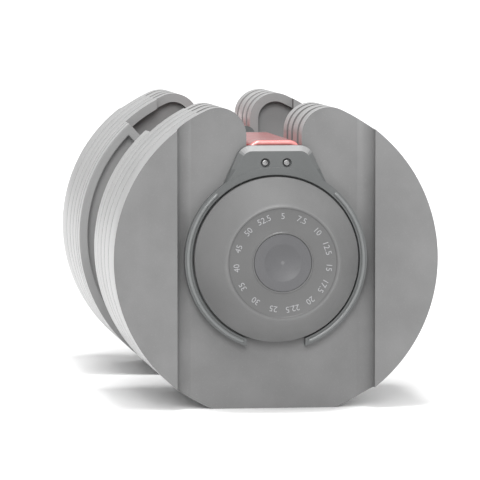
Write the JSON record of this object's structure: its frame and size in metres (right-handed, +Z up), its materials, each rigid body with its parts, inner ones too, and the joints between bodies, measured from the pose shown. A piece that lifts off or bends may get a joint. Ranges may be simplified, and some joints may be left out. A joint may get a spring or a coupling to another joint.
{
  "type": "adjustable dumbbell",
  "caption": "Adjustable dumbbell: slotted plates in two stacks, and a lift-out handle with end dials that pick up the plates chosen by turning selector discs.",
  "frame": {"origin": "on the floor, under the middle of the handle", "axes": "+X along the handle towards the front dial, +Z up, +Y across the plates"},
  "size_m": [0.42, 0.21, 0.1942],
  "materials": {
    "plate_iron": "satin",
    "disc_plastic": "matte",
    "dial_plastic": "satin",
    "cap_plastic": "satin",
    "housing_plastic": "satin",
    "red_plastic": "gloss",
    "grip_rubber": "matte",
    "bright_steel": "satin"
  },
  "bodies": {
    "weight_plates": {"front_plate_1": "plate_iron", "front_plate_2": "plate_iron", "front_plate_3": "plate_iron", "front_plate_4": "plate_iron", "front_plate_5": "plate_iron", "front_plate_6": "plate_iron", "rear_plate_1": "plate_iron", "rear_plate_2": "plate_iron", "rear_plate_3": "plate_iron", "rear_plate_4": "plate_iron", "rear_plate_5": "plate_iron", "rear_plate_6": "plate_iron"},
    "handle": {"handle_bar": "bright_steel", "grip": "grip_rubber", "front_housing": "housing_plastic", "front_housing_screws": "bright_steel", "front_bridge": "red_plastic", "front_guard": "housing_plastic", "front_guard_screws": "bright_steel", "front_grip_collar": "bright_steel", "front_retaining_washer": "bright_steel", "front_end_screw": "bright_steel", "front_lock_spring": "bright_steel", "rear_housing": "housing_plastic", "rear_housing_screws": "bright_steel", "rear_bridge": "red_plastic", "rear_guard": "housing_plastic", "rear_guard_screws": "bright_steel", "rear_grip_collar": "bright_steel", "rear_retaining_washer": "bright_steel", "rear_end_screw": "bright_steel", "rear_lock_spring": "bright_steel"},
    "front_dial": {"front_dial": "dial_plastic", "front_dial_cap": "cap_plastic", "front_drive_sleeve": "bright_steel", "front_selector_disc_1": "disc_plastic", "front_selector_disc_2": "disc_plastic", "front_selector_disc_3": "disc_plastic", "front_selector_disc_4": "disc_plastic", "front_selector_disc_5": "disc_plastic", "front_selector_disc_6": "disc_plastic"},
    "front_lock": {"front_lock_pin": "bright_steel"},
    "rear_dial": {"rear_dial": "dial_plastic", "rear_dial_cap": "cap_plastic", "rear_drive_sleeve": "bright_steel", "rear_selector_disc_1": "disc_plastic", "rear_selector_disc_2": "disc_plastic", "rear_selector_disc_3": "disc_plastic", "rear_selector_disc_4": "disc_plastic", "rear_selector_disc_5": "disc_plastic", "rear_selector_disc_6": "disc_plastic"},
    "rear_lock": {"rear_lock_pin": "bright_steel"}
  },
  "joints": [
    {"name": "handle_lift", "type": "slide", "parent": "weight_plates", "child": "handle", "axis": [0, 0, 1], "range_m": [0, 0.25]},
    {"name": "front_dial_turn", "type": "hinge", "parent": "handle", "child": "front_dial", "pos_m": [0.12, 0, 0.097], "axis": [1, 0, 0], "range_deg": [0, 336]},
    {"name": "rear_dial_turn", "type": "hinge", "parent": "handle", "child": "rear_dial", "pos_m": [-0.12, 0, 0.097], "axis": [-1, 0, 0], "range_deg": [0, 336]},
    {"name": "front_lock_press", "type": "slide", "parent": "handle", "child": "front_lock", "axis": [0, 0, 1], "range_m": [0, 0.003], "stiffness_N_per_m": 200, "springref_m": -0.005, "deforming": ["front_lock_spring"]},
    {"name": "rear_lock_press", "type": "slide", "parent": "handle", "child": "rear_lock", "axis": [0, 0, 1], "range_m": [0, 0.003], "stiffness_N_per_m": 200, "springref_m": -0.005, "deforming": ["rear_lock_spring"]}
  ]
}
